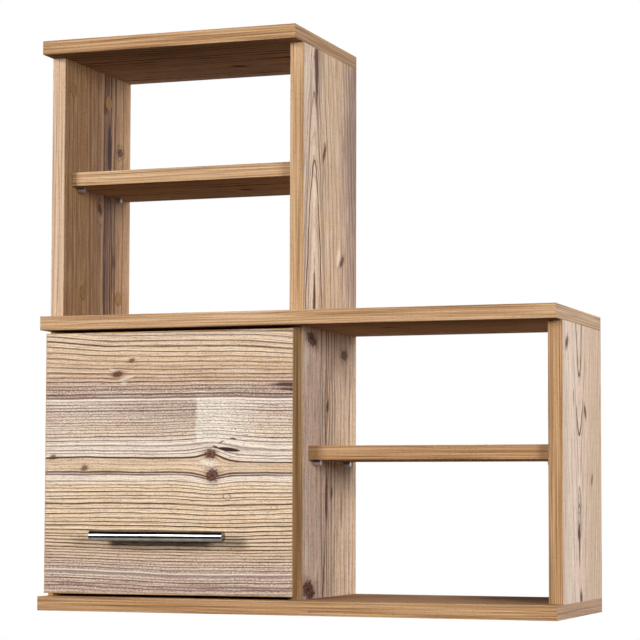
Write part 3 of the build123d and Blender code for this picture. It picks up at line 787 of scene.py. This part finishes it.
CORNER_LEFT = (-210.0, -305.0)
CORNER_TOP = (-75.0, -12.0)
SAG_RIGHT = (-100.0, -55.0)
SAG_FOOT = (-170.0, -158.0)
SAG_HEAD = (-136.0, -150.0)
BLOCK_FOOT = (-142.0, -132.0)
BLOCK_HEAD = (-84.0, -89.0)
BLOCK_LEFT = (-115.0, -110.0)
BLOCK_FADE = (-10.0, -105.0)
DULL_RIGHT = (-110.0, -115.0)
DULL_FADE = (-300.0, -120.0)
DULL_FOOT = (-150.0, -88.0)
UPPER_CLOSE = (-138.0, -84.0)
LOWER_CLOSE = (-312.0, -225.0)
EYE_FOOT = (-171.0, -168.0)
EYE_HEAD = (-153.0, -156.0)
DEEP_HEAD = (-184.0, -196.0)
DEEP_FOOT = (-285.0, -262.0)
COARSE_FOOT = (-138.0, -128.0)
COARSE_HEAD = (-62.0, -76.0)
COARSE_LOW = (-250.0, -275.0)

PAIR_PLACE = (-94.0, -162.0)
BLOCK_TONE = (252, 243, 230)
SCAR_TONE = (160, 112, 96)
FLAP_LINE = (70, 38, 14)
FLAP_GAP = (246, 226, 198)


def flap_wood():
    """The flap's front: level grain in bands, a pair of knots, a bright block and a crack."""
    material, sheet = new_material("flap_wood")
    u, y, z = place_mm(sheet)
    front = 1.0 - y.above(FLAP_MIDDLE)
    v = z + y.above(FLAP_MIDDLE) * OTHER_FACE
    grain = grain_of(
        seed=21.4,
        line=FLAP_LINE,
        gap=FLAP_GAP,
        pitch=4.8,
        even=0.7,
        sway=7.0,
        quiver=1.5,
        broad=1.0,
        bright=0.75,
        fine=0.45,
        fibre=0.5,
        fleck=0.6,
        blush=0.3,
        bends=[(34.0, -14.0, 16.0, 2.5), (*PAIR_PLACE, 12.5, 0.95)] + around(FLAP_KNOTS[2:]),
        lights=FLAP_LIGHTS,
        loops=FLAP_LOOPS,
        knots=FLAP_KNOTS,
        cracks=FLAP_CRACKS,
        seams=FLAP_SEAMS,
        streaks=FLAP_STREAKS,
    )
    rise = u.step(*CORNER_LEFT) * v.step(*CORNER_TOP) * 9.0
    sag = u.step(*SAG_RIGHT) * v.step(*SAG_FOOT) * v.step(*SAG_HEAD) * 4.0
    rings, slope = wood_rings(sheet, u, v - rise + sag, grain)
    wander = (sheet.cloud(u / 150.0, v / 25.0, 2.0) - 0.5) * 0.03
    base = ((rings - FLAP_FOOT) / FLAP_HEIGHT + wander).ramp(FLAP_TONES)
    beside = v.step(*BLOCK_FOOT) * v.step(*BLOCK_HEAD) * front
    ragged = (sheet.cloud(u / 9.0, v / 2.0, 2.0) - 0.5) * 8.0
    lit = (u + ragged).step(*BLOCK_LEFT) * u.step(*BLOCK_FADE)
    dull = (u + ragged).step(*DULL_RIGHT) * u.step(*DULL_FADE)
    base = (beside * lit).coat(base, BLOCK_TONE)
    base = (beside * dull * v.step(*DULL_FOOT) * 0.7).coat(base, MAUVE)
    torn = (sheet.cloud(u / 3.0, v / 3.0, 2.0) - 0.5) * 1.6
    scar = oval(u, v, (*PAIR_PLACE, 8.0, 1.0, 0.0)) + torn
    spots = sheet.cloud(u / 2.2, v / 2.2, 2.0).step(0.56, 0.7)
    base = (scar.step(1.2, 0.6) * front).coat(base, spots.coat(CHALK, SCAR_TONE))
    close = (rings.step(*UPPER_CLOSE) * 4.0 + rings.step(*LOWER_CLOSE) * 5.0) * grain["pitch"]
    eye = rings.step(*EYE_FOOT) * rings.step(*EYE_HEAD)
    deep = rings.step(*DEEP_HEAD) * rings.step(*DEEP_FOOT)
    force = 1.0 - eye * 0.7 - beside * lit * 0.35 + deep * 0.4
    coarse = rings.step(*COARSE_FOOT) * rings.step(*COARSE_HEAD) + rings.step(*COARSE_LOW)
    rough = 0.5 + coarse * 0.5
    colour, relief = dressed_wood(sheet, u, v, rings, slope, base, grain, rough, close, force)
    return finish(material, colour, 0.54 + relief * 0.12, relief, 0.0003, Specular_IOR_Level=0.12)


# Painted shade for the end faces of the level boards' edge bands
PAINTED_END_SHADE = (134, 132, 138)
BAND_STOPS = (0.0, 0.35, 0.65, 1.0)
BAND_TONES = ((138, 99, 61), (182, 141, 100), (200, 161, 120), (216, 182, 144))
DEEP_TONES = ((125, 86, 48), (170, 127, 85), (188, 147, 104), (204, 166, 124))
# The flap's band: a darker copy of the honey band, painted shade
FLAP_BAND_SHADE_TONES = ((121, 84, 43), (158, 118, 71), (174, 135, 88), (187, 152, 106))
LIGHT_TONES = ((142, 104, 66), (188, 148, 106), (206, 168, 127), (222, 189, 151))
PALE_TONES = ((172, 135, 106), (202, 167, 136), (214, 182, 152), (226, 198, 170))


def band_material(name, tones, run="level", ends=0.2, end_shade_tone=PAINTED_END_SHADE):
    """Edge band: honey strips with fine streaks along the edge, with painted shade on the end faces of
    level boards.
    """
    material, sheet = new_material(name)
    x, y, z = place_mm(sheet)
    side = abs(facing(sheet)[0]).above(0.5)
    if run == "upright":
        u, v = z, x
    elif run == "level":
        u, v = y * side + x * (1.0 - side), z
    else:
        u, v = z * side + x * (1.0 - side), y
    streak = sheet.cloud(u / 140.0, v / 0.8, 3.0)
    strand = sheet.cloud(u / 300.0, v / 3.0, 2.0)
    line = (v / 3.1 + sheet.cloud(u / 220.0, v / 7.0, 1.0) * 2.2).fract() ** 4.0
    relief = streak * 0.6 + strand * 0.4
    base = relief.step(0.3, 0.7).ramp(list(zip(BAND_STOPS, tones)))
    colour = (line * sheet.cloud(u / 90.0, v / 2.0, 2.0)).coat(base, UMBER)
    pores = sheet.cloud(u / 5.0, v / 0.5, 2.0).step(0.55, 0.78) * 0.4
    colour = pores.coat(colour, UMBER)
    # Painted shade: the end faces of level boards are darkened by the share ends
    if run == "level":
        colour = (side * ends).coat(colour, end_shade_tone)
    return finish(material, colour, 0.5 + streak * 0.12, relief, 0.0001, Specular_IOR_Level=0.15)


def metal_material(name, tone, low, high, scale, relief=0.00002):
    """Plated metal with fine handling marks."""
    material, sheet = new_material(name)
    x, y, z = place_mm(sheet)
    smear = sheet.cloud(x / scale, (y + z) / scale, 3.0)
    speck = sheet.cloud(x / (0.12 * scale) + y, z / (0.12 * scale) - y, 2.0)
    dull = tuple(level * 0.86 for level in tone)
    colour = smear.step(0.3, 0.75).coat(tone, dull)
    roughness = low + (smear * 0.6 + speck * 0.4) * (high - low)
    return finish(material, colour, roughness, speck, relief, Metallic=1.0)


def plain_material(name, tone, darker, scale, roughness, **constants):
    """Moulded or sawn stuff with soft mottling."""
    material, sheet = new_material(name)
    x, y, z = place_mm(sheet)
    mottle = sheet.cloud(x / scale + y / scale, z / scale - y / scale, 3.0)
    fine = sheet.cloud(x / 0.7 + y, z / 0.7 - y, 2.0)
    colour = (mottle * 0.7 + fine * 0.3).step(0.3, 0.75).coat(tone, darker)
    return finish(material, colour, roughness + fine * 0.1, fine, 0.00004, **constants)


def cap_material():
    """Cam caps, each coloured like the board that it sits in."""
    material, sheet = new_material("cap_plastic")
    x, y, z = place_mm(sheet)
    mottle = sheet.cloud(y / 12.0, z / 12.0, 3.0).step(0.3, 0.75) * 0.2
    fine = sheet.cloud(y / 0.7, z / 0.7, 2.0)
    in_tower_left = (1.0 - x.above(-270.0)) * z.above(0.0)
    tone = in_tower_left.coat((198, 170, 144), (158, 118, 70))
    colour = mottle.coat(tone, UMBER)
    return finish(material, colour, 0.5 + fine * 0.1, fine, 0.00004, Specular_IOR_Level=0.1)


def hardboard_material():
    """The thin back of the flap bay: pale decor foil in front, brown fibre behind."""
    material, sheet = new_material("hardboard_sheet")
    x, y, z = place_mm(sheet)
    front = 1.0 - y.above(HARDBOARD_FRONT)
    streak = sheet.cloud(x / 60.0, z / 1.5, 3.0)
    foil = streak.ramp([(0.3, TAN), (0.5, STRAW), (0.75, ROSE)])
    mesh = sheet.node("CombineXYZ", {}, {"X": x / 1.6, "Y": z / 1.6})
    weave = sheet.node("TexVoronoi", {"voronoi_dimensions": "2D"}, {"Vector": mesh, "Scale": 1.0})
    felt = sheet.cloud(x / 4.0, z / 4.0, 4.0)
    raw_tones = [(0.2, (92, 62, 40)), (0.5, (128, 90, 60)), (0.8, (150, 110, 76))]
    fibre = (felt * 0.7 + weave * 0.3).ramp(raw_tones)
    colour = front.coat(fibre, foil)
    relief = felt * 0.4 + weave * 0.6
    return finish(material, colour, 0.6 + felt * 0.15, relief, 0.0001, Specular_IOR_Level=0.12)


def dress_nodes():
    """Gives each part of the cabinet its finish."""
    band = band_material("honey_band", BAND_TONES)
    deep_band = band_material("deep_band", DEEP_TONES)
    # The top's band has deeper painted shade on its end faces
    top_band = band_material("top_band", DEEP_TONES, ends=0.3, end_shade_tone=(98, 86, 76))
    deep_upright_band = band_material("deep_band_upright", DEEP_TONES, "upright")
    upright_band = band_material("light_band_upright", LIGHT_TONES, "upright")
    shelf_band = band_material("light_band", LIGHT_TONES)
    pale_band = band_material("pale_band_upright", PALE_TONES, "upright")
    # Painted shade: the flap's band in darker tones than the honey band
    shaded_flap_band = band_material("honey_band_flap_shaded", FLAP_BAND_SHADE_TONES, "round the flap")
    nickel = metal_material("nickel_plate", (162, 160, 156), 0.24, 0.38, 9.0)
    zinc = metal_material("zinc_plate", (196, 198, 202), 0.3, 0.5, 6.0)
    cast = metal_material("cast_zinc", (150, 150, 152), 0.45, 0.6, 3.0)
    polished = metal_material("polished_bar", (140, 138, 136), 0.04, 0.08, 14.0, 0.000002)
    grey_steel = metal_material("grey_steel", (96, 94, 92), 0.3, 0.42, 5.0)
    black_steel = plain_material("blackened_steel", (30, 29, 28), (40, 38, 36), 7.0, 0.5)
    beech = plain_material("beech_wood", (214, 178, 134), (188, 146, 102), 5.0, 0.55)
    silicone = plain_material("clear_silicone", (222, 224, 222), (204, 206, 204), 4.0, 0.25)
    finishes = {
        "tower_right_side": tower_right_wood(),
        "lower_right_side": lower_right_wood(),
        "divider": divider_wood(),
        "tower_left_side": tower_left_wood(),
        "lower_left_side": lower_left_wood(),
        "top_panel": level_wood("top_wood", 320.0, 2.3, 0.0),
        "middle_panel": level_wood("middle_wood", 0.0, 4.9, 0.0),
        "bottom_panel": level_wood("bottom_wood", -320.0, 7.2, 0.0, BAY_FLOOR_TONES, BAY_FLOOR_PAINTED_SHADE),
        "tower_shelf": level_wood("tower_shelf_wood", 172.0, 9.6, -8.0),
        "lower_shelf": level_wood("lower_shelf_wood", -149.0, 12.8, -8.0),
        "flap_panel": flap_wood(),
        "back_panel": hardboard_material(),
        "hinge_arms": black_steel,
        "hinge_cups": black_steel,
        "hinge_plates": black_steel,
        "handle_bar": polished,
        "handle_posts": polished,
        "tower_shelf_pegs": zinc,
        "lower_shelf_pegs": zinc,
        "hanger_plates": grey_steel,
        "cam_caps": cap_material(),
        "wood_dowels": beech,
        "bump_stops": silicone,
        "cam_locks": cast,
    }
    for name in ("tower_left", "tower_right", "lower_left", "lower_right", "divider"):
        finishes[name + "_edging"] = upright_band
    for name in ("top_panel", "middle_panel", "bottom_panel", "tower_shelf", "lower_shelf"):
        finishes[name + "_edging"] = band
    finishes["flap_edging"] = shaded_flap_band
    finishes["tower_shelf_edging"] = shelf_band
    finishes["tower_left_edging"] = pale_band
    finishes["top_panel_edging"] = top_band
    finishes["bottom_panel_edging"] = deep_band
    finishes["lower_shelf_edging"] = deep_band
    finishes["lower_right_edging"] = deep_upright_band
    for name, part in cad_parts.items():
        finish_of = finishes.get(name)
        if finish_of is None:
            finish_of = zinc if "screws" in name or "bolts" in name else nickel
        for slot in part.material_slots:
            slot.material = finish_of


# Camera, light and floor

CAMERA_PLACE = (0.8933, -2.5839, -0.1999)
CAMERA_YAW = -19.811
CAMERA_PITCH = 3.797
CAMERA_ROLL = 0.143
CAMERA_LENS = 129.53
CAMERA_SHIFT = 0.04
CAMERA_SENSOR = 36.0
FLOOR_SIZE = 24.0
FLOOR_LEVEL = -1.7

# Lamps: name, place, point that each looks at, size in metres and power in watts

LAMPS = [
    ("key_lamp", (-1.6, -3.3, 0.65), (0.0, -0.1, 0.0), 1.0, 98.0),
    ("side_lamp", (2.9, 0.5, 0.6), (0.0, -0.1, 0.0), 1.2, 46.0),
    ("fill_lamp", (2.3, -2.5, 0.45), (0.0, -0.1, 0.0), 0.9, 74.0),
    ("top_lamp", (0.0, 0.0, 3.2), (0.0, 0.0, 0.0), 1.0, 50.0),
    ("left_lamp", (-2.9, 0.5, 0.8), (0.0, -0.1, 0.0), 1.2, 36.0),
    ("low_lamp", (0.0, -0.1, -1.6), (0.0, -0.1, 0.0), 0.5, 5.0),
    ("back_lamp", (-0.6, 3.0, 0.6), (0.0, 0.0, 0.0), 1.6, 50.0),
]


def set_camera():
    """Stands the camera at the photograph's viewing angle."""
    yaw, pitch, roll = (math.radians(a) for a in (CAMERA_YAW, CAMERA_PITCH, CAMERA_ROLL))
    ahead = Vector((math.sin(yaw) * math.cos(pitch), math.cos(yaw) * math.cos(pitch), math.sin(pitch)))
    level = Vector((math.cos(yaw), -math.sin(yaw), 0.0))
    upward = level.cross(ahead)
    right = level * math.cos(roll) + upward * math.sin(roll)
    upward = upward * math.cos(roll) - level * math.sin(roll)
    data = bpy.data.cameras.new("camera")
    data.lens = CAMERA_LENS
    data.sensor_width = CAMERA_SENSOR
    data.shift_y = CAMERA_SHIFT
    data.clip_end = 100.0
    camera = bpy.data.objects.new("camera", data)
    turn = Matrix((right, upward, -ahead)).transposed()
    camera.matrix_world = Matrix.Translation(CAMERA_PLACE) @ turn.to_4x4()
    bpy.context.scene.collection.objects.link(camera)
    bpy.context.scene.camera = camera


def add_lamp(name, place, target, size, power):
    """A soft square lamp that looks at a point of the cabinet."""
    data = bpy.data.lights.new(name, "AREA")
    data.shape = "SQUARE"
    data.size = size
    data.energy = power
    lamp = bpy.data.objects.new(name, data)
    lamp.location = place
    aim = Vector(target) - Vector(place)
    lamp.rotation_euler = aim.to_track_quat("-Z", "Y").to_euler()
    lamp.visible_camera = False
    bpy.context.scene.collection.objects.link(lamp)


def seen_directly(sheet):
    """1 for what the camera sees, also in a mirror or through glass, 0 for what only lights."""
    seen = sheet.node("LightPath", {}, {}, output="Is Camera Ray")
    for ray in ("Is Glossy Ray", "Is Transmission Ray"):
        seen = seen.higher(sheet.node("LightPath", {}, {}, output=ray))
    return seen


def set_light():
    """Plain soft studio light in a white room."""
    for lamp in LAMPS:
        add_lamp(*lamp)
    world = bpy.data.worlds.new("white_room")
    world.use_nodes = True
    bpy.context.scene.world = world
    room = Field(world.node_tree)
    seen = seen_directly(room)
    colour = seen.coat((36, 36, 36), (255, 255, 255))
    world.node_tree.links.new(colour.socket, world.node_tree.nodes["Background"].inputs["Color"])


def add_dark_card(name, size, place):
    """A dark level card that only mirrors see, so that polished metal has dark lines."""
    bpy.ops.object.select_all(action="DESELECT")
    bpy.ops.mesh.primitive_plane_add(size=1.0, location=place)
    card = bpy.context.object
    card.name = name
    card.scale = (size[0], size[1], 1.0)
    card.visible_camera = False
    card.visible_diffuse = False
    card.visible_shadow = False
    card.visible_transmission = False
    material, sheet = new_material(name)
    x, y = place_mm(sheet)[:2]
    finish(material, sheet.cloud(x, y).coat((5, 5, 5), (8, 8, 8)), 0.9)
    card.data.materials.append(material)


def add_floor():
    """A pale floor well below the hanging cabinet, which fades into the white room."""
    bpy.ops.object.select_all(action="DESELECT")
    bpy.ops.mesh.primitive_plane_add(size=FLOOR_SIZE, location=(0.0, 0.0, FLOOR_LEVEL))
    floor = bpy.context.object
    floor.name = "floor"
    material, sheet = new_material("pale_floor")
    x, y = place_mm(sheet)[:2]
    mottle = sheet.cloud(x / 300.0, y / 300.0, 2.0)
    seen = seen_directly(sheet)
    pale = mottle.coat((150, 150, 150), (156, 156, 156))
    colour = seen.coat((30, 30, 30), pale)
    away = (x * x + y * y).root()
    room = away.step(2500.0, 7000.0).coat((212, 212, 212), (255, 255, 255))
    glow = seen.coat((0, 0, 0), room)
    finish(material, colour, 0.9, glow=glow, Emission_Strength=1.0)
    floor.data.materials.append(material)


set_camera()
set_light()
add_floor()
add_dark_card("card_above", (6.0, 5.7), (0.0, -2.15, 2.2))
add_dark_card("card_below", (8.0, 7.6), (0.0, -5.25, -1.69))
dress_nodes()
bpy.context.scene.view_settings.view_transform = "Standard"
